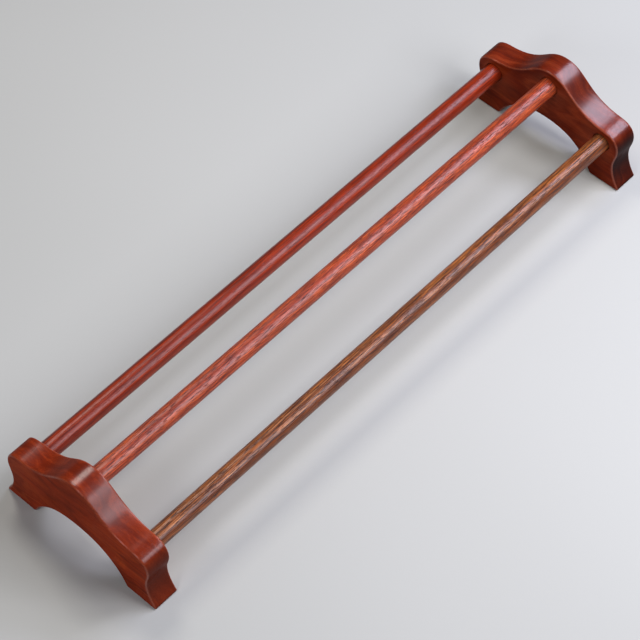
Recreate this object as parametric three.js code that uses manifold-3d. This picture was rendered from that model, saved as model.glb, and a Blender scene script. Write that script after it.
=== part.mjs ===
// Three-bar rack: two arched wooden end blocks joined by three round wooden bars.
//
// Millimetres, +Z up. X runs along the bars, Y across the feet. The origin is on the resting plane,
// under the middle of the rack, so the feet stand at Z = 0.
// Each bar sits in a blind socket in the inner face of either block.

import * as THREE from 'three';
import { mergeVertices } from 'three/addons/utils/BufferGeometryUtils.js';
import Module from 'manifold-3d';

const wasm = await Module();
wasm.setup();

// ---- driving dimensions ----

const OVERALL_LENGTH = 700;
const BLOCK_THICKNESS = 28.5;
const HALF_WIDTH = 98;
const CROWN_HEIGHT = 106.5;

const BAR_DIAMETER = 20;
const BROWN_BAR_DIAMETER = 19;
const SIDE_BAR_Y = 71;
const SIDE_BAR_Z = 56;
const MIDDLE_BAR_Z = 87;

const SOCKET_DIAMETER = 21;
const SOCKET_DEPTH = 18;
const SOCKET_END_GAP = 0.5;

const EDGE_EASE = 1.2;
const BAR_END_CHAMFER = 1;

// ---- how finely the curves are faceted ----

const POINTS_PER_CURVE = 10;
const POINTS_PER_CORNER = 4;
const EASE_STEPS = 2;
const ROUND_SEGMENTS = 40;

// ---- allowances for joining and cutting ----

const SAME_POINT = 1e-6;                 // points closer than this are one point of the outline
const SAME_VERTEX = 1e-4;
const CUTTER_OVERRUN = 2;                // how far a socket's cutter reaches out of the block

// ---- worked out from the above ----

const INNER_FACE_X = OVERALL_LENGTH / 2 - BLOCK_THICKNESS;
const SOCKET_FLOOR_X = INNER_FACE_X + SOCKET_DEPTH;
const BAR_LENGTH = 2 * (SOCKET_FLOOR_X - SOCKET_END_GAP);

// ---- the end block's outline, from the crown down one side to the top of the arch ----

// A point [y, z]: across as a share of the half width, up as a share of the crown's height.
const at = (across, up) => [across * HALF_WIDTH, up * CROWN_HEIGHT];

const CROWN = at(0, 1);
const HUMP_SIDE = at(0.362, 0.812);      // steepest point, between the hump and the shoulder
const SHOULDER_TOP = at(0.735, 0.687);
const SHOULDER_SIDE = at(0.939, 0.507);  // widest point of the shoulder
const WAIST = at(0.9, 0.291);            // narrowest point of the side
const HEEL = at(0.617, 0);               // where the foot ends and the arch begins
const ARCH_SIDE = at(0.316, 0.305);
const ARCH_TOP = at(0, 0.3625);

// The foot's two corners are rounded back along their edges by these lengths.
const TIP_ROUNDING = 4;
const HEEL_ROUNDING = 3;
const TIP_CUT = 0.36 * TIP_ROUNDING;     // what the rounding takes off the half width
const TIP = [HALF_WIDTH + TIP_CUT, 0];

// Directions in which the foot's edges leave its two corners.
const INWARD = [-1, 0];
const OUTWARD = [1, 0];
const UP_THE_SIDE = [-0.53, 0.85];
const UP_THE_ARCH = [-0.38, 0.92];

const along = (corner, direction, length) => corner.map((value, axis) => value + direction[axis] * length);

const TIP_ON_SIDE = along(TIP, UP_THE_SIDE, TIP_ROUNDING);
const TIP_ON_SOLE = along(TIP, INWARD, TIP_ROUNDING);
const HEEL_ON_SOLE = along(HEEL, OUTWARD, HEEL_ROUNDING);
const HEEL_ON_ARCH = along(HEEL, UP_THE_ARCH, HEEL_ROUNDING);

function halfOutline() {
  const half = new THREE.Path();
  half.moveTo(...CROWN);
  half.bezierCurveTo(...at(0.163, 1), ...at(0.245, 0.892), ...HUMP_SIDE);
  half.bezierCurveTo(...at(0.48, 0.732), ...at(0.592, 0.698), ...SHOULDER_TOP);
  half.bezierCurveTo(...at(0.867, 0.678), ...at(0.939, 0.62), ...SHOULDER_SIDE);
  half.bezierCurveTo(...at(0.939, 0.423), ...at(0.9, 0.376), ...WAIST);
  half.bezierCurveTo(...at(0.9, 0.188), ...at(0.944, 0.099), ...TIP_ON_SIDE);
  half.quadraticCurveTo(...TIP, ...TIP_ON_SOLE);
  half.lineTo(...HEEL_ON_SOLE);
  half.quadraticCurveTo(...HEEL, ...HEEL_ON_ARCH);
  half.bezierCurveTo(...at(0.556, 0.136), ...at(0.449, 0.244), ...ARCH_SIDE);
  half.bezierCurveTo(...at(0.204, 0.355), ...at(0.092, 0.3625), ...ARCH_TOP);
  return half;
}

function curvePoints(path) {
  const points = [];
  for (const curve of path.curves) {
    const roundCorner = curve.isQuadraticBezierCurve ? POINTS_PER_CORNER : POINTS_PER_CURVE;
    const divisions = curve.isLineCurve ? 1 : roundCorner;
    for (const point of curve.getPoints(divisions)) {
      const last = points.at(-1);
      if (!last || last.distanceTo(point) > SAME_POINT) points.push(point);
    }
  }
  return points;
}

function blockShape() {
  const half = curvePoints(halfOutline());
  const mirrored = half.slice(1, -1).reverse().map((point) => new THREE.Vector2(-point.x, point.y));
  return new THREE.Shape([...half, ...mirrored]);
}

// ---- solids and cuts ----

function toSolid(geometry) {
  const bare = geometry.clone();
  bare.deleteAttribute('normal');
  bare.deleteAttribute('uv');
  const merged = mergeVertices(bare, SAME_VERTEX);
  return new wasm.Manifold(new wasm.Mesh({
    numProp: 3,
    vertProperties: new Float32Array(merged.attributes.position.array),
    triVerts: new Uint32Array(merged.index.array),
  }));
}

function toGeometry(solid) {
  const mesh = solid.getMesh();
  const geometry = new THREE.BufferGeometry();
  geometry.setAttribute('position', new THREE.BufferAttribute(mesh.vertProperties, 3));
  geometry.setIndex(new THREE.BufferAttribute(mesh.triVerts, 1));
  geometry.computeVertexNormals();
  return geometry;
}

// A cylinder lying along X, from one X to the other.
function cylinderAlongX(radius, fromX, toX, y, z) {
  const cylinder = new THREE.CylinderGeometry(radius, radius, toX - fromX, ROUND_SEGMENTS);
  cylinder.rotateZ(Math.PI / 2);
  cylinder.translate((fromX + toX) / 2, y, z);
  return cylinder;
}

// The outline swept through the block's thickness, with both rims eased. It is built for the block at +X.
function plainBlock() {
  const block = new THREE.ExtrudeGeometry(blockShape(), {
    depth: BLOCK_THICKNESS - 2 * EDGE_EASE,
    bevelEnabled: true,
    bevelThickness: EDGE_EASE,
    bevelSize: EDGE_EASE,
    bevelOffset: -EDGE_EASE,
    bevelSegments: EASE_STEPS,
  });
  block.applyMatrix4(new THREE.Matrix4().makeBasis(
    new THREE.Vector3(0, 1, 0),
    new THREE.Vector3(0, 0, 1),
    new THREE.Vector3(1, 0, 0),
  ));
  block.translate(INNER_FACE_X + EDGE_EASE, 0, 0);
  return block;
}

const BAR_PLACES = [
  [SIDE_BAR_Y, SIDE_BAR_Z],
  [0, MIDDLE_BAR_Z],
  [-SIDE_BAR_Y, SIDE_BAR_Z],
];

function blockGeometry() {
  let block = toSolid(plainBlock());
  for (const [y, z] of BAR_PLACES) {
    const fromX = INNER_FACE_X - CUTTER_OVERRUN;
    const cutter = cylinderAlongX(SOCKET_DIAMETER / 2, fromX, SOCKET_FLOOR_X, y, z);
    block = block.subtract(toSolid(cutter));
  }
  return toGeometry(block);
}

// A round bar along X with both ends lightly chamfered.
function barGeometry(diameter) {
  const radius = diameter / 2;
  const end = BAR_LENGTH / 2;
  const profile = [
    new THREE.Vector2(0, -end),
    new THREE.Vector2(radius - BAR_END_CHAMFER, -end),
    new THREE.Vector2(radius, -end + BAR_END_CHAMFER),
    new THREE.Vector2(radius, end - BAR_END_CHAMFER),
    new THREE.Vector2(radius - BAR_END_CHAMFER, end),
    new THREE.Vector2(0, end),
  ];
  const bar = new THREE.LatheGeometry(profile, ROUND_SEGMENTS);
  bar.rotateZ(-Math.PI / 2);
  return bar;
}

// ---- materials ----

function lacqueredWood(colour, roughness) {
  return new THREE.MeshStandardMaterial({ color: colour, roughness, metalness: 0 });
}

const blockWood = lacqueredWood(0x7e2f1b, 0.32);
const redWood = lacqueredWood(0x96412a, 0.3);
const streakedRedWood = lacqueredWood(0xa6492e, 0.34);
const brownWood = lacqueredWood(0x7d5232, 0.36);

// ---- assembly ----

function endBlock(name, side) {
  const mesh = new THREE.Mesh(blockGeometry(), blockWood);
  mesh.name = name;
  if (side < 0) mesh.rotation.z = Math.PI;
  return mesh;
}

function bar(name, diameter, place, material) {
  const mesh = new THREE.Mesh(barGeometry(diameter), material);
  mesh.name = name;
  mesh.position.set(0, ...place);
  return mesh;
}

const rack = new THREE.Group();
rack.add(endBlock('near_end_block', -1));
rack.add(endBlock('far_end_block', 1));
rack.add(bar('left_side_bar', BAR_DIAMETER, BAR_PLACES[0], redWood));
rack.add(bar('middle_bar', BAR_DIAMETER, BAR_PLACES[1], streakedRedWood));
rack.add(bar('right_side_bar', BROWN_BAR_DIAMETER, BAR_PLACES[2], brownWood));

export default rack;
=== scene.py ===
"""Looks of a low wooden rack: two arched end blocks joined by three round bars.

Metres, in the frame's axes: X along the bars, Y across the feet, Z up. Each CAD node is replaced by a
finer mesh of the same shape in the same place. Overall sizes and the bars' places are read from the
frame. The outline's proportions, the sockets and the chamfers repeat those of the CAD.
"""

import math

import bpy
from mathutils import Matrix, Vector, noise
from mathutils.geometry import delaunay_2d_cdt, interpolate_bezier


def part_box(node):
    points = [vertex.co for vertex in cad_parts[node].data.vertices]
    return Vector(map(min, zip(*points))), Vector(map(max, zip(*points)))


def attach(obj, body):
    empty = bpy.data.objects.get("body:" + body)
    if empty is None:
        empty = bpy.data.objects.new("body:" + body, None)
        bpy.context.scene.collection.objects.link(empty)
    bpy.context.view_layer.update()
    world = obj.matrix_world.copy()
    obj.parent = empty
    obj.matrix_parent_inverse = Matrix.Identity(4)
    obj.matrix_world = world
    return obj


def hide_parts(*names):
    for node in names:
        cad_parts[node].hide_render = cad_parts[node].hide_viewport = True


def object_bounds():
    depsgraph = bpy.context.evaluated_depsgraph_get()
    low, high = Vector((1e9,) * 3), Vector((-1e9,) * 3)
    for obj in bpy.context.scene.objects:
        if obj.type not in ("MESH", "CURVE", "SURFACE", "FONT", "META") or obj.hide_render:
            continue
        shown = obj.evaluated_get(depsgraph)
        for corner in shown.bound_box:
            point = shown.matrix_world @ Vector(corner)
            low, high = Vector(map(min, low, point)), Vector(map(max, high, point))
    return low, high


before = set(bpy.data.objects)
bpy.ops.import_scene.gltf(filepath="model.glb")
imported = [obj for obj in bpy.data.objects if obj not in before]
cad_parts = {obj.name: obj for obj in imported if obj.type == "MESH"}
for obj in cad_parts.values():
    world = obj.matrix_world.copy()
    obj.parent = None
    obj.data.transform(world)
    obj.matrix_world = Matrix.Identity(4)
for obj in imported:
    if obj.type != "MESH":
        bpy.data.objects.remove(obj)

CAD_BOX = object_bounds()
MM = 0.001

BLOCK_LOW, BLOCK_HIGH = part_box("far_end_block")
BLOCK_THICKNESS = BLOCK_HIGH.x - BLOCK_LOW.x
HALF_WIDTH = BLOCK_HIGH.y
CROWN_HEIGHT = BLOCK_HIGH.z
INNER_FACE_X = BLOCK_LOW.x
OUTER_FACE_X = BLOCK_HIGH.x


# ---- camera, floor and light ----

CAMERA_AZIMUTH = math.radians(-46.97)
CAMERA_ELEVATION = math.radians(53.36)
CAMERA_ROLL = math.radians(-0.46)
CAMERA_DISTANCE = 2.5146
CAMERA_LENS = 146.7
SENSOR_WIDTH = 36
CLIP_END = 50
AIM_OFFSET = Vector((-0.0342, -0.0117, 0))   # from the middle of the frame's box to where the camera aims

PALE_BLUE = (0.80, 0.80, 1.0)
COOL_WHITE = (0.95, 0.92, 1.0)
WARM_WHITE = (1.0, 0.92, 0.86)
WORLD_COLOUR = (0.95, 0.95, 1.0, 1)
WORLD_STRENGTH = 0.11

FLOOR_HALF = 40
FLOOR_GAP = 0.1 * MM             # keeps the floor clear of the feet's undersides
FLOOR_DARKER = (0.455, 0.475, 0.445)
FLOOR_LIGHTER = (0.49, 0.51, 0.48)
FLOOR_CLOUD_SCALE = 1.3
FLOOR_TOOTH_SCALE = 260
FLOOR_TOOTH_DEPTH = 0.3 * MM


def box_centre():
    low, high = CAD_BOX
    return (Vector(low) + Vector(high)) / 2


def make_camera():
    camera = bpy.data.objects.new("camera", bpy.data.cameras.new("camera"))
    bpy.context.scene.collection.objects.link(camera)
    level = math.cos(CAMERA_ELEVATION)
    back = Vector((
        math.sin(CAMERA_AZIMUTH) * level,
        -math.cos(CAMERA_AZIMUTH) * level,
        math.sin(CAMERA_ELEVATION),
    ))
    camera.location = box_centre() + AIM_OFFSET + back * CAMERA_DISTANCE
    roll = Matrix.Rotation(CAMERA_ROLL, 3, "Z").to_quaternion()
    camera.rotation_mode = "QUATERNION"
    camera.rotation_quaternion = (-back).to_track_quat("-Z", "Y") @ roll
    camera.data.lens = CAMERA_LENS
    camera.data.sensor_width = SENSOR_WIDTH
    camera.data.clip_end = CLIP_END
    bpy.context.scene.camera = camera


def make_soft_light(name, place, aim, size, radiance, tint):
    """A rectangle of light. Its brightness is given as radiance, so its size can change on its own."""
    width, depth = size
    light = bpy.data.lights.new(name, "AREA")
    light.shape = "RECTANGLE"
    light.size = width
    light.size_y = depth
    light.energy = radiance * math.pi * width * depth
    light.color = tint
    lamp = bpy.data.objects.new(name, light)
    bpy.context.scene.collection.objects.link(lamp)
    lamp.location = place
    lamp.rotation_mode = "QUATERNION"
    lamp.rotation_quaternion = (aim - place).to_track_quat("-Z", "Y")


def picture_place(right, away, height):
    """Metres from the frame's origin: to the right and away as the camera sees them, and up."""
    across = Vector((math.cos(CAMERA_AZIMUTH), math.sin(CAMERA_AZIMUTH), 0))
    forward = Vector((-math.sin(CAMERA_AZIMUTH), math.cos(CAMERA_AZIMUTH), 0))
    return across * right + forward * away + Vector((0, 0, height))


def make_lights():
    middle = box_centre()
    make_soft_light(
        "side_light_far", Vector((1.05, -0.34, 1.1)), Vector((0, -0.52, 0.05)),
        size=(0.92, 0.34), radiance=15.0, tint=PALE_BLUE,
    )
    make_soft_light(
        "side_light_middle", picture_place(right=0.85, away=0.04, height=1.1), middle,
        size=(0.36, 0.36), radiance=14.0, tint=COOL_WHITE,
    )
    make_soft_light(
        "side_light_near", picture_place(right=1.15, away=-0.62, height=1.1), middle,
        size=(0.80, 0.74), radiance=8.3, tint=COOL_WHITE,
    )
    make_soft_light(
        "top_light", Vector((0.08, 0.57, 1.1)), middle,
        size=(0.34, 0.38), radiance=12.5, tint=WARM_WHITE,
    )
    make_soft_light(
        "fill_light", Vector((-1.6, -0.1, 1.3)), middle,
        size=(0.55, 0.55), radiance=10.5, tint=COOL_WHITE,
    )
    world = bpy.data.worlds.new("studio")
    bpy.context.scene.world = world
    world.use_nodes = True
    background = world.node_tree.nodes["Background"]
    background.inputs["Color"].default_value = WORLD_COLOUR
    background.inputs["Strength"].default_value = WORLD_STRENGTH


def floor_paper():
    """Pale matt paper, faintly clouded, with a fine tooth."""
    material, tree, shader = new_material("floor_paper")
    coords = add(tree, "TexCoord").outputs["Object"]
    tooth = add(tree, "TexNoise", {"Vector": coords, "Scale": FLOOR_TOOTH_SCALE, "Detail": 3})
    cloud = add(tree, "TexNoise", {"Vector": coords, "Scale": FLOOR_CLOUD_SCALE, "Detail": 2})
    pale = ramp(tree, cloud.outputs["Fac"], [(0.3, FLOOR_DARKER), (0.7, FLOOR_LIGHTER)])
    tree.links.new(pale, shader.inputs["Base Color"])
    shader.inputs["Roughness"].default_value = 0.85
    bump = add(tree, "Bump", {
        "Height": tooth.outputs["Fac"], "Strength": 0.15, "Distance": FLOOR_TOOTH_DEPTH,
    })
    tree.links.new(bump.outputs["Normal"], shader.inputs["Normal"])
    return material


def make_floor():
    half = FLOOR_HALF
    corners = [(-half, -half, 0), (half, -half, 0), (half, half, 0), (-half, half, 0)]
    mesh = bpy.data.meshes.new("floor")
    mesh.from_pydata(corners, [], [(0, 1, 2, 3)])
    mesh.materials.append(floor_paper())
    floor = bpy.data.objects.new("floor", mesh)
    floor.location.z = CAD_BOX[0][2] - FLOOR_GAP
    bpy.context.scene.collection.objects.link(floor)


# ---- small helpers for materials ----

def new_material(name):
    material = bpy.data.materials.new(name)
    material.use_nodes = True
    tree = material.node_tree
    return material, tree, tree.nodes["Principled BSDF"]


def add(tree, kind, inputs=None, **settings):
    """One more node. An input is either a value or another node's output socket."""
    made = tree.nodes.new("ShaderNode" + kind)
    for key, value in settings.items():
        setattr(made, key, value)
    for key, value in (inputs or {}).items():
        if isinstance(value, bpy.types.NodeSocket):
            tree.links.new(value, made.inputs[key])
        else:
            made.inputs[key].default_value = value
    return made


def calculate(tree, operation, first, second, clamp=False):
    made = add(tree, "Math", {0: first, 1: second}, operation=operation, use_clamp=clamp)
    return made.outputs[0]


def ramp(tree, factor, stops):
    """Colours, or greys given as one number, at places from 0 to 1."""
    made = add(tree, "ValToRGB", {"Fac": factor})
    elements = made.color_ramp.elements
    while len(elements) < len(stops):
        elements.new(0.5)        # the loop below moves it to its own place
    for element, (place, colour) in zip(elements, stops):
        element.position = place
        level = (colour,) * 3 if isinstance(colour, (int, float)) else colour
        element.color = (*level, 1)
    return made.outputs["Color"]


# The Mix node names its sockets alike for every type of value, so those for colours go by number.
MIX_FACTOR = 0
MIX_FIRST = 6
MIX_SECOND = 7
MIX_RESULT = 2


def mix(tree, factor, first, second, mode="MIX"):
    inputs = {MIX_FACTOR: factor, MIX_FIRST: first, MIX_SECOND: second}
    made = add(tree, "Mix", inputs, data_type="RGBA", blend_type=mode)
    return made.outputs[MIX_RESULT]


# ---- wood ----

SHADE_RANGE = (0.28, 0.72)       # the part of a noise factor that shading makes use of
PORE_SOFTNESS = 0.05
FIBRE_HEIGHT = 0.6               # as a share of the pores' depth

FIBRE_FROM = 0.2                 # fibre up to this value neither pales on the edges nor roughens
PALEST_EDGE_FIBRE = 0.75              # where the edges are palest, from wear and a painted highlight
ROUGH_FIBRE = 0.8                # where it is roughest
WORN_AND_HIGHLIT_SHARE = 0.36
END_GRAIN_SHARE = 0.96

FIBRE_ROUGHNESS = 0.12
PORE_ROUGHNESS = 0.2
BARE_ROUGHNESS = 0.4


def scaled(tree, coords, along, across):
    """Coordinates in which one unit is that many millimetres along and across the grain."""
    scale = (1 / along, 1 / across, 1 / across)
    return add(tree, "Mapping", {"Vector": coords, "Scale": scale}).outputs["Vector"]


def stretched_noise(tree, coords, size, detail=2.0, roughness=0.5, distortion=0.0):
    """Noise whose patches are drawn out along the grain. size is their length and width."""
    inputs = {
        "Vector": scaled(tree, coords, *size),
        "Scale": 1.0,
        "Detail": detail,
        "Roughness": roughness,
        "Distortion": distortion,
    }
    return add(tree, "TexNoise", inputs).outputs["Fac"]


def grain_coordinates(tree, turn, shift):
    """Millimetres, with x along the grain and the pith on the x axis."""
    coords = add(tree, "TexCoord").outputs["Object"]
    made = add(tree, "Mapping", {
        "Vector": coords, "Scale": (1 / MM,) * 3, "Rotation": turn, "Location": shift,
    })
    return made.outputs["Vector"]


def growth_rings(tree, coords, look):
    """A factor that varies from ring to ring round a pith that lies along x."""
    lean = (look["ring_lean"], 1, 1)
    sideways = add(tree, "VectorMath", {0: coords, 1: lean}, operation="MULTIPLY").outputs[0]
    radius = add(tree, "VectorMath", {0: sideways}, operation="LENGTH").outputs["Value"]
    wave = stretched_noise(tree, coords, look["warp_size"])
    bend = calculate(tree, "MULTIPLY", calculate(tree, "SUBTRACT", wave, 0.5), look["ring_warp"])
    place = calculate(tree, "DIVIDE", calculate(tree, "ADD", radius, bend), look["ring_width"])
    inputs = {"W": place, "Scale": 1.0, "Detail": 3.0, "Roughness": 0.6}
    return add(tree, "TexNoise", inputs, noise_dimensions="1D").outputs["Fac"]


def above(tree, factor, start, full, strength):
    """0 up to start, then rising to strength at full."""
    made = add(tree, "MapRange", {
        "Value": factor, "From Min": start, "From Max": full, "To Max": strength,
    })
    return made.outputs["Result"]


def marked(tree, name):
    """A mark that the mesh carries at each vertex."""
    return add(tree, "Attribute", attribute_name=name).outputs["Fac"]


def shade(tree, colour, factor, dark, light):
    """Darkens or lightens a colour by a noise factor."""
    start, full = SHADE_RANGE
    grey = ramp(tree, factor, [(start, dark), (full, light)])
    return mix(tree, 1.0, colour, grey, "MULTIPLY")


def grain_colour(tree, coords, look, fibre, pores):
    """The colour of the grain: rings, broad figure, fibre, dark streaks and open pores."""
    colour = ramp(tree, growth_rings(tree, coords, look), look["ring_colours"])
    figure = stretched_noise(tree, coords, look["figure_size"], distortion=look["figure_curl"])
    colour = shade(tree, colour, figure, look["figure_dark"], look["figure_light"])
    colour = shade(tree, colour, fibre, look["fibre_dark"], look["fibre_light"])
    streak = stretched_noise(tree, coords, look["streak_size"], distortion=look["streak_curl"])
    streaks = above(tree, streak, *look["streak_range"], look["streak_strength"])
    colour = mix(tree, streaks, colour, (*look["streak_colour"], 1))
    depth = calculate(tree, "MULTIPLY", pores, look["pore_strength"])
    return mix(tree, depth, colour, (*look["pore_colour"], 1))


def worked_colour(tree, coords, look, colour, fibre):
    """The grain's colour with painted shade on the buffed slopes, darker end grain that is painted shade on
    the far block, edges paled by wear and a painted highlight, and bare wood in sockets.
    """
    # Painted shade: darkens the buffed upward slopes, partly for the darker tone of oil-soaked wood.
    buffed_shade = calculate(tree, "MULTIPLY", marked(tree, "polish_and_shade"), look["buffed_shade_share"])
    colour = mix(tree, buffed_shade, colour, (*look["buffed_shade_colour"], 1))
    # End grain is darker. On the far block this is painted shade.
    ends = calculate(tree, "MULTIPLY", marked(tree, "end_grain"), END_GRAIN_SHARE)
    speckle = stretched_noise(tree, coords, look["end_size"], detail=3, roughness=0.7)
    end_grain_and_shade_colour = mix(tree, speckle, (*look["end_grain_and_shade_dark"], 1), (*look["end_grain_and_shade_light"], 1))
    colour = mix(tree, ends, colour, end_grain_and_shade_colour)
    # Paler edges: partly worn wood, partly a painted rim highlight.
    pale_edge_fibre = above(tree, fibre, FIBRE_FROM, PALEST_EDGE_FIBRE, WORN_AND_HIGHLIT_SHARE)
    worn_and_highlit_edge = calculate(tree, "MULTIPLY", marked(tree, "edge"), pale_edge_fibre)
    colour = mix(tree, worn_and_highlit_edge, colour, (*look["worn_and_highlit_edge_colour"], 1))
    return mix(tree, marked(tree, "bare"), colour, (*look["bare_colour"], 1))


def grain_roughness(tree, look, fibre, pores):
    """Rougher on the paler fibres and in the pores."""
    fibre_rough = above(tree, fibre, FIBRE_FROM, ROUGH_FIBRE, FIBRE_ROUGHNESS)
    rough = calculate(tree, "ADD", fibre_rough, look["roughness"])
    return calculate(tree, "ADD", rough, calculate(tree, "MULTIPLY", pores, PORE_ROUGHNESS))


def grain_relief(tree, look, fibre, pores):
    """A normal with raised fibres and sunken pores."""
    height = calculate(tree, "SUBTRACT", calculate(tree, "MULTIPLY", fibre, FIBRE_HEIGHT), pores)
    bump = add(tree, "Bump", {
        "Height": height, "Strength": look["bump"], "Distance": look["bump_depth"] * MM,
    })
    return bump.outputs["Normal"]


def grain_noises(tree, look):
    """Coordinates along the grain, and the fibre and pores that colour, gloss and relief share."""
    coords = grain_coordinates(tree, look["turn"], look["shift"])
    fibre = stretched_noise(tree, coords, look["fibre_size"], detail=3, roughness=0.65)
    pore = stretched_noise(tree, coords, look["pore_size"], detail=1)
    pores = above(tree, pore, look["pore_from"], look["pore_from"] + PORE_SOFTNESS, 1.0)
    return coords, fibre, pores


def connect_wood(tree, shader, look, colour, rough, normal):
    """Gives the shader what every wood has."""
    tree.links.new(colour, shader.inputs["Base Color"])
    tree.links.new(rough, shader.inputs["Roughness"])
    tree.links.new(normal, shader.inputs["Normal"])
    shader.inputs["Specular IOR Level"].default_value = look["specular_level"]


def bar_wood(name, look):
    """A bar's wood, the same all round."""
    material, tree, shader = new_material(name)
    coords, fibre, pores = grain_noises(tree, look)
    colour = grain_colour(tree, coords, look, fibre, pores)
    rough = grain_roughness(tree, look, fibre, pores)
    connect_wood(tree, shader, look, colour, rough, grain_relief(tree, look, fibre, pores))
    return material


def block_wood(name, look):
    """A block's wood. Its top slopes and its edges are buffed, and its flat faces are duller."""
    material, tree, shader = new_material(name)
    coords, fibre, pores = grain_noises(tree, look)
    colour = grain_colour(tree, coords, look, fibre, pores)
    colour = worked_colour(tree, coords, look, colour, fibre)
    bare = calculate(tree, "MULTIPLY", marked(tree, "bare"), BARE_ROUGHNESS)
    rough = calculate(tree, "ADD", grain_roughness(tree, look, fibre, pores), bare, clamp=True)
    normal = grain_relief(tree, look, fibre, pores)
    connect_wood(tree, shader, look, colour, rough, normal)
    coat = calculate(tree, "MAXIMUM", marked(tree, "polish_and_shade"), look["face_coat"])
    tree.links.new(coat, shader.inputs["Coat Weight"])
    tree.links.new(normal, shader.inputs["Coat Normal"])
    shader.inputs["Coat Roughness"].default_value = look["coat_roughness"]
    shader.inputs["Coat IOR"].default_value = look["coat_ior"]
    return material


# turn brings the grain onto x, and shift then puts the pith, round which the rings lie, off the piece.
# A size is the length and width of a patch, in millimetres along and across the grain. A ring colour is
# given with its place on the ramp from 0 to 1.
BLOCK_LOOK = {
    "turn": (0, 0, math.radians(-90)), "shift": (0, 110, -95),
    "ring_width": 8.0, "ring_warp": 60.0, "warp_size": (110, 40), "ring_lean": 0.05,
    "ring_colours": [
        (0.34, (0.180, 0.016, 0.002)), (0.50, (0.27, 0.027, 0.004)), (0.66, (0.37, 0.048, 0.009)),
    ],
    "figure_size": (60, 24), "figure_curl": 1.2, "figure_dark": 0.72, "figure_light": 1.18,
    "fibre_size": (18, 0.9), "fibre_dark": 0.74, "fibre_light": 1.20,
    "streak_size": (70, 2.4), "streak_range": (0.53, 0.66), "streak_strength": 0.40,
    "streak_colour": (0.11, 0.010, 0.003), "streak_curl": 0.3,
    "pore_size": (5, 0.5), "pore_from": 0.64, "pore_strength": 0.45, "pore_colour": (0.06, 0.006, 0.003),
    "end_size": (2.0, 1.6), "end_grain_and_shade_dark": (0.035, 0.007, 0.004), "end_grain_and_shade_light": (0.13, 0.022, 0.010),
    # The edge colour on the next line is partly worn wood and partly a painted rim highlight.
    "worn_and_highlit_edge_colour": (0.64, 0.15, 0.06), "bare_colour": (0.20, 0.05, 0.02),
    # The oil share and colour on the next line paint shade on the buffed slopes, partly the darker tone of
    # oil-soaked wood.
    "buffed_shade_share": 0.30, "buffed_shade_colour": (0.08, 0.006, 0.001),
    "roughness": 0.42, "specular_level": 0.02, "bump": 0.3, "bump_depth": 0.12,
    "face_coat": 0.06, "coat_roughness": 0.24, "coat_ior": 1.42,
}

# The same wood, darker on the far block: painted shade. Its end grain is painted almost black, painted shade
# on the side away from the lights.
FAR_BLOCK_SHADED_LOOK = dict(
    BLOCK_LOOK,
    ring_colours=[
        (0.34, (0.105, 0.008, 0.001)), (0.50, (0.160, 0.015, 0.002)), (0.66, (0.230, 0.029, 0.006)),
    ],
    end_grain_and_shade_dark=(0.005, 0.002, 0.002), end_grain_and_shade_light=(0.018, 0.005, 0.004), buffed_shade_share=0.08,
)

RED_LOOK = {
    "turn": (0.6, 0, 0), "shift": (0, 60, 45),
    "ring_width": 5.0, "ring_warp": 4.0, "warp_size": (320, 50), "ring_lean": 0.006,
    "ring_colours": [
        (0.32, (0.165, 0.011, 0.001)), (0.50, (0.245, 0.020, 0.002)), (0.68, (0.35, 0.036, 0.005)),
    ],
    "figure_size": (80, 14), "figure_curl": 0.3, "figure_dark": 0.80, "figure_light": 1.12,
    "fibre_size": (24, 0.75), "fibre_dark": 0.58, "fibre_light": 1.35,
    "streak_size": (40, 1.1), "streak_range": (0.53, 0.60), "streak_strength": 0.65,
    "streak_colour": (0.075, 0.006, 0.003), "streak_curl": 0.0,
    "pore_size": (7, 0.6), "pore_from": 0.64, "pore_strength": 0.5, "pore_colour": (0.06, 0.007, 0.004),
    "roughness": 0.27, "specular_level": 0.35, "bump": 0.5, "bump_depth": 0.2,
}

STREAKED_LOOK = dict(
    RED_LOOK,
    turn=(0.2, 0, 0), shift=(0, -30, 20),
    ring_width=3.2,
    ring_colours=[
        (0.32, (0.26, 0.029, 0.006)), (0.50, (0.33, 0.046, 0.010)), (0.68, (0.42, 0.076, 0.019)),
    ],
    figure_dark=0.86, figure_light=1.10,
    fibre_size=(20, 0.62), fibre_dark=0.32, fibre_light=1.90,
    streak_size=(24, 0.72), streak_range=(0.51, 0.56), streak_strength=0.80,
    streak_colour=(0.13, 0.011, 0.005),
    pore_size=(9, 0.65), pore_from=0.60, pore_strength=0.85, bump=0.9, roughness=0.29, specular_level=0.52,
)

BROWN_LOOK = dict(
    RED_LOOK,
    turn=(1.1, 0, 0), shift=(0, 35, -25),
    ring_width=2.6,
    ring_colours=[
        (0.32, (0.150, 0.036, 0.006)), (0.50, (0.25, 0.072, 0.015)), (0.68, (0.39, 0.148, 0.035)),
    ],
    figure_dark=0.78, figure_light=1.14,
    fibre_size=(24, 0.62), fibre_dark=0.32, fibre_light=1.95,
    streak_size=(30, 0.78), streak_range=(0.50, 0.55), streak_strength=0.90,
    streak_colour=(0.060, 0.014, 0.005),
    pore_size=(12, 0.65), pore_from=0.59, pore_strength=0.85, pore_colour=(0.035, 0.010, 0.004),
    bump=0.9, specular_level=0.42,
)


# ---- end blocks ----

CURVE_POINTS = 26
CORNER_POINTS = 9

EASE_RADIUS = 1.8 * MM
EASE_STEPS = 6
CORNER_SHARE = 0.75              # how much of a tight corner's own radius its easing may take
EASE_TAPER = 0.4                 # how fast the easing grows again with distance from such a corner
STRAIGHT = 1e-4                  # radians: a smaller bend is taken as this much

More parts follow.
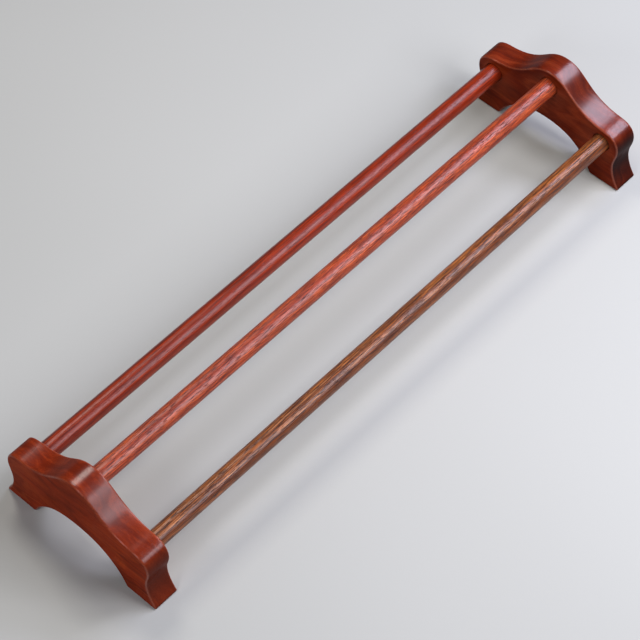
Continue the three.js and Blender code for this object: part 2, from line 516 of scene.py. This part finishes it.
TIP_ROUNDING = 4 * MM
TIP_CUT = 0.36 * TIP_ROUNDING    # what the rounding takes off the half width
HEEL_ROUNDING = 3 * MM
UP_THE_SIDE = Vector((-0.53, 0.85, 0))
UP_THE_ARCH = Vector((-0.38, 0.92, 0))
SOLE_STEPS = 7

WALL_STEPS = 7
WALL_WAVE = 0.10 * MM            # how far hand sanding leaves the sawn edge from true
WALL_WAVES = 28                  # per metre
FOOT_BAND = 6 * MM               # the feet stay flat: the waves fade in over this height

MARKS = ("edge", "bare", "polish_and_shade", "end_grain")   # what a block's mesh says about each of its vertices
EDGE_POLISH = 0.9
BUFFED_SLOPE = (0.6, 0.92)       # upward share of the normal where buffing starts and where it is full
DULL_SIDE = (0.15, 0.45)         # the same towards +Y, for slopes that were rubbed less and stay duller
DULL_SIDE_SHARE = 0.75

SOCKET_RADIUS = 10.5 * MM
SOCKET_DEPTH = 18 * MM
SOCKET_RIM = 0.5 * MM
SOCKET_SEGMENTS = 64
MOUTH_MARKS = {"edge": 0.6, "bare": 0.0}
THROAT_MARKS = {"edge": 0.3, "bare": 0.7}
FLOOR_MARKS = {"edge": 0.0, "bare": 1.0}

ONLY_INSIDE = 1                  # tells the triangulation to fill inside its edges only
SAME_POINT = 1e-9                # and that points closer than this are one


def at(across, up):
    """A point of the outline: shares of the half width and of the crown's height.

    The outline lies flat, with the block's Y and Z as its x and y.
    """
    return Vector((across * HALF_WIDTH, up * CROWN_HEIGHT, 0))


def curve(points, first_handle, second_handle, end, count=CURVE_POINTS):
    """Carries the outline on along one Bezier curve."""
    points.extend(interpolate_bezier(points[-1], first_handle, second_handle, end, count)[1:])


def corner(points, tip, end):
    """Carries the outline on round a corner, whose two edges would meet at tip."""
    start = points[-1]
    curve(points, start.lerp(tip, 2 / 3), end.lerp(tip, 2 / 3), end, CORNER_POINTS)


CROWN = at(0, 1)
HUMP_SIDE = at(0.362, 0.812)     # steepest point, between the hump and the shoulder
SHOULDER_TOP = at(0.735, 0.687)
SHOULDER_SIDE = at(0.939, 0.507)
WAIST = at(0.9, 0.291)
TIP = Vector((HALF_WIDTH + TIP_CUT, 0, 0))
HEEL = at(0.617, 0)              # where the foot ends and the arch begins
ARCH_SIDE = at(0.316, 0.305)
ARCH_TOP = at(0, 0.3625)

# Where the roundings of the foot's two corners meet its edges.
TIP_ON_SIDE = TIP + UP_THE_SIDE * TIP_ROUNDING
TIP_ON_SOLE = TIP - Vector((TIP_ROUNDING, 0, 0))
HEEL_ON_SOLE = HEEL + Vector((HEEL_ROUNDING, 0, 0))
HEEL_ON_ARCH = HEEL + UP_THE_ARCH * HEEL_ROUNDING


def half_outline():
    """From the crown down one side and under the foot to the top of the arch."""
    points = [CROWN]
    curve(points, at(0.163, 1), at(0.245, 0.892), HUMP_SIDE)
    curve(points, at(0.48, 0.732), at(0.592, 0.698), SHOULDER_TOP)
    curve(points, at(0.867, 0.678), at(0.939, 0.62), SHOULDER_SIDE)
    curve(points, at(0.939, 0.423), at(0.9, 0.376), WAIST)
    curve(points, at(0.9, 0.188), at(0.944, 0.099), TIP_ON_SIDE)
    corner(points, TIP, TIP_ON_SOLE)
    for steps_left in range(SOLE_STEPS, 0, -1):
        points.append(points[-1].lerp(HEEL_ON_SOLE, 1 / steps_left))
    corner(points, HEEL, HEEL_ON_ARCH)
    curve(points, at(0.556, 0.136), at(0.449, 0.244), ARCH_SIDE)
    curve(points, at(0.204, 0.355), at(0.092, 0.3625), ARCH_TOP)
    return points


def block_outline():
    """Closed outline and its outward normals."""
    half = half_outline()
    points = half + [Vector((-p.x, p.y, 0)) for p in reversed(half[1:-1])]
    normals = []
    for index, point in enumerate(points):
        before = points[index - 1]
        after = points[(index + 1) % len(points)]
        along = (after - before).normalized()
        normals.append(Vector((-along.y, along.x, 0)))
    return points, normals


def easing_room(points):
    """How far each point of the outline can be drawn in without folding it over at a tight corner."""
    room = []
    for index, point in enumerate(points):
        before = point - points[index - 1]
        after = points[(index + 1) % len(points)] - point
        bend = max(before.angle(after), STRAIGHT)
        corner_radius = (before.length + after.length) / 2 / bend
        room.append(min(EASE_RADIUS, CORNER_SHARE * corner_radius))
    # Twice round either way, so that a tight corner's limit reaches all its neighbours.
    count = len(points)
    for index in list(range(2 * count)) + list(range(2 * count, 0, -1)):
        here = index % count
        beside = (index - 1) % count
        growth = EASE_TAPER * (points[here] - points[beside]).length
        room[here] = min(room[here], room[beside] + growth)
        room[beside] = min(room[beside], room[here] + growth)
    return room


def smooth_step(low, high, value):
    share = max(0.0, min(1.0, (value - low) / (high - low)))
    return share * share * (3 - 2 * share)


def outline_layers():
    """For each ring: depth from the outer face, share of the easing, and how much of an edge it is."""
    rounding = []
    for step in range(EASE_STEPS + 1):
        angle = math.pi / 2 * step / EASE_STEPS
        depth = EASE_RADIUS * (1 - math.cos(angle))
        rounding.append((depth, 1 - math.sin(angle), math.sin(2 * angle)))
    wall = BLOCK_THICKNESS - 2 * EASE_RADIUS
    straight = [(EASE_RADIUS + wall * step / WALL_STEPS, 0, 0) for step in range(1, WALL_STEPS)]
    back = [(BLOCK_THICKNESS - depth, drawn_in, edge) for depth, drawn_in, edge in reversed(rounding)]
    return rounding + straight + back


def add_ring(vertices, ring):
    """Adds a ring of vertices and returns their numbers."""
    first = len(vertices)
    vertices.extend(ring)
    return list(range(first, first + len(ring)))


def bridge(faces, ring_a, ring_b):
    """Joins two rings of as many vertices by a band of four-sided faces."""
    count = len(ring_a)
    for index in range(count):
        following = (index + 1) % count
        faces.append((ring_a[index], ring_a[following], ring_b[following], ring_b[index]))


def fill_flat(vertices, faces, outline_ring, holes, faces_outward):
    """Fills a flat face across X, the outer one or the inner one. holes are the rings of its round holes."""
    numbers = []
    edges = []
    for ring in [outline_ring] + holes:
        first = len(numbers)
        numbers.extend(ring)
        edges.extend((first + i, first + (i + 1) % len(ring)) for i in range(len(ring)))
    flat = [Vector((vertices[number].y, vertices[number].z)) for number in numbers]
    places, _, triangles, originals, _, _ = delaunay_2d_cdt(flat, edges, [], ONLY_INSIDE, SAME_POINT)
    for triangle in triangles:
        middle = sum((places[index] for index in triangle), Vector((0, 0))) / 3
        if any(within(vertices, hole, middle) for hole in holes):
            continue
        corners = tuple(numbers[originals[index][0]] for index in triangle)
        faces.append(corners if faces_outward else corners[::-1])


def within(vertices, hole, point):
    """Whether a point, as (y, z), lies inside a round hole."""
    centre = sum((vertices[index] for index in hole), Vector()) / len(hole)
    radius = (vertices[hole[0]] - centre).length
    return (point - centre.yz).length < radius


def socket_circle(centre, radius, x):
    """A round of a socket, wound so that the walls face into the hole."""
    ring = []
    for index in range(SOCKET_SEGMENTS):
        angle = -2 * math.pi * index / SOCKET_SEGMENTS
        y = centre[0] + radius * math.cos(angle)
        z = centre[1] + radius * math.sin(angle)
        ring.append(Vector((x, y, z)))
    return ring


def bar_places():
    """The bars' middles, as (y, z)."""
    places = []
    for name in ("left_side_bar", "middle_bar", "right_side_bar"):
        low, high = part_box(name)
        places.append(((low.y + high.y) / 2, (low.z + high.z) / 2))
    return places


def block_rings(side, vertices, marks):
    """The block's rim and walls, ring by ring from the outer face to the inner one.

    Waves and dull slopes go by the place on the standing rack, so the two blocks differ.
    """
    outline, normals = block_outline()
    room = easing_room(outline)
    rings = []
    for depth, drawn_in, edge in outline_layers():
        ring = []
        for point, normal, inset in zip(outline, normals, room):
            place = Vector((side * (OUTER_FACE_X - depth), side * point.x, point.y))
            above_foot = min(1, point.y / FOOT_BAND)
            wave = noise.noise(place * WALL_WAVES) * WALL_WAVE * above_foot
            out = normal * (wave - drawn_in * inset)
            ring.append(Vector((OUTER_FACE_X - depth, point.x + out.x, point.y + out.y)))
            turned = 1 - drawn_in
            dull = DULL_SIDE_SHARE * smooth_step(*DULL_SIDE, side * normal.x)
            buffed = turned * smooth_step(*BUFFED_SLOPE, normal.y) * (1 - dull)
            # The same mark sets the coat and where shade is painted on the buffed slopes.
            marks["polish_and_shade"].append(max(buffed, EDGE_POLISH * edge))
            marks["end_grain"].append(turned * normal.x ** 2)
            marks["edge"].append(edge)
            marks["bare"].append(0.0)
        rings.append(add_ring(vertices, ring))
    return rings


def socket_ring(vertices, marks, centre, radius, x, ring_marks):
    """Adds one round of a socket with its marks."""
    for name in MARKS:
        marks[name].extend([ring_marks.get(name, 0.0)] * SOCKET_SEGMENTS)
    return add_ring(vertices, socket_circle(centre, radius, x))


def make_socket(vertices, faces, marks, centre):
    """A blind hole with an eased mouth. The ring at its mouth is returned."""
    wide = SOCKET_RADIUS + SOCKET_RIM
    mouth = socket_ring(vertices, marks, centre, wide, INNER_FACE_X, MOUTH_MARKS)
    throat = socket_ring(vertices, marks, centre, SOCKET_RADIUS, INNER_FACE_X + SOCKET_RIM, THROAT_MARKS)
    floor = socket_ring(vertices, marks, centre, SOCKET_RADIUS, INNER_FACE_X + SOCKET_DEPTH, FLOOR_MARKS)
    bridge(faces, mouth, throat)
    bridge(faces, throat, floor)
    faces.append(tuple(floor))
    return mouth


def make_block(name, side, material):
    """The block at +X, turned half round for the other end when side is -1."""
    vertices = []
    faces = []
    marks = {mark: [] for mark in MARKS}
    rings = block_rings(side, vertices, marks)
    for ring_a, ring_b in zip(rings, rings[1:]):
        bridge(faces, ring_a, ring_b)
    fill_flat(vertices, faces, rings[0], holes=[], faces_outward=True)
    mouths = [make_socket(vertices, faces, marks, (side * y, z)) for y, z in bar_places()]
    fill_flat(vertices, faces, rings[-1], holes=mouths, faces_outward=False)
    turned = [Vector((side * v.x, side * v.y, v.z)) for v in vertices]
    finish_piece(name, turned, faces, material, marks)


def finish_piece(name, vertices, faces, material, marks):
    """Makes the mesh, with its material and marks, and stands it in for the CAD node of that name."""
    mesh = bpy.data.meshes.new(name)
    mesh.from_pydata(vertices, [], faces)
    mesh.validate()
    for mark, values in marks.items():
        mesh.attributes.new(mark, "FLOAT", "POINT").data.foreach_set("value", values)
    for polygon in mesh.polygons:
        curved = polygon.loop_total == 4      # the flat faces are triangles or have many sides
        polygon.use_smooth = curved
    mesh.materials.append(material)
    piece = bpy.data.objects.new(name + "_fine", mesh)
    bpy.context.scene.collection.objects.link(piece)
    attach(piece, "root")
    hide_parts(name)


# ---- bars ----

BAR_SEGMENTS = 72
BAR_STEP = 5 * MM
BAR_CHAMFER = 1 * MM
BAR_WAVE = 0.04 * MM             # how far the turned surface wanders from a true cylinder
BAR_WAVES_ALONG = 14             # per metre
BAR_WAVES_ACROSS = 40


def bar_stations(half, radius):
    """Places along a bar with the radius there: chamfered ends and even steps between them."""
    count = round(2 * half / BAR_STEP)
    stations = [(-half, radius - BAR_CHAMFER), (-half + BAR_CHAMFER, radius)]
    for step in range(1, count):
        stations.append((-half + 2 * half * step / count, radius))
    stations += [(half - BAR_CHAMFER, radius), (half, radius - BAR_CHAMFER)]
    return stations


def make_bar(name, material):
    """A round bar whose turned surface wanders slightly inside the CAD's cylinder."""
    low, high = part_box(name)
    centre = (low + high) / 2
    radius = (high.z - low.z) / 2
    vertices = []
    faces = []
    rings = []
    for x, station_radius in bar_stations((high.x - low.x) / 2, radius):
        axis_point = Vector((centre.x + x, centre.y, centre.z))
        ring = []
        for index in range(BAR_SEGMENTS):
            angle = 2 * math.pi * index / BAR_SEGMENTS
            out = Vector((0, math.cos(angle), math.sin(angle)))
            place = Vector((x, centre.y, centre.z)) + out * radius
            across = place * BAR_WAVES_ACROSS
            wander = noise.noise(Vector((x * BAR_WAVES_ALONG, across.y, across.z))) * BAR_WAVE
            ring.append(axis_point + out * (station_radius + wander - BAR_WAVE))
        rings.append(add_ring(vertices, ring))
    for ring_a, ring_b in zip(rings, rings[1:]):
        bridge(faces, ring_a, ring_b)
    faces.append(tuple(reversed(rings[0])))
    faces.append(tuple(rings[-1]))
    finish_piece(name, vertices, faces, material, {})


# ---- the rack ----

def make_rack():
    make_block("near_end_block", -1, block_wood("near_block_wood", BLOCK_LOOK))
    make_block("far_end_block", 1, block_wood("far_block_shaded_wood", FAR_BLOCK_SHADED_LOOK))
    make_bar("left_side_bar", bar_wood("red_wood", RED_LOOK))
    make_bar("middle_bar", bar_wood("streaked_red_wood", STREAKED_LOOK))
    make_bar("right_side_bar", bar_wood("brown_wood", BROWN_LOOK))


bpy.context.scene.view_settings.view_transform = "Standard"
make_camera()
make_lights()
make_floor()
make_rack()
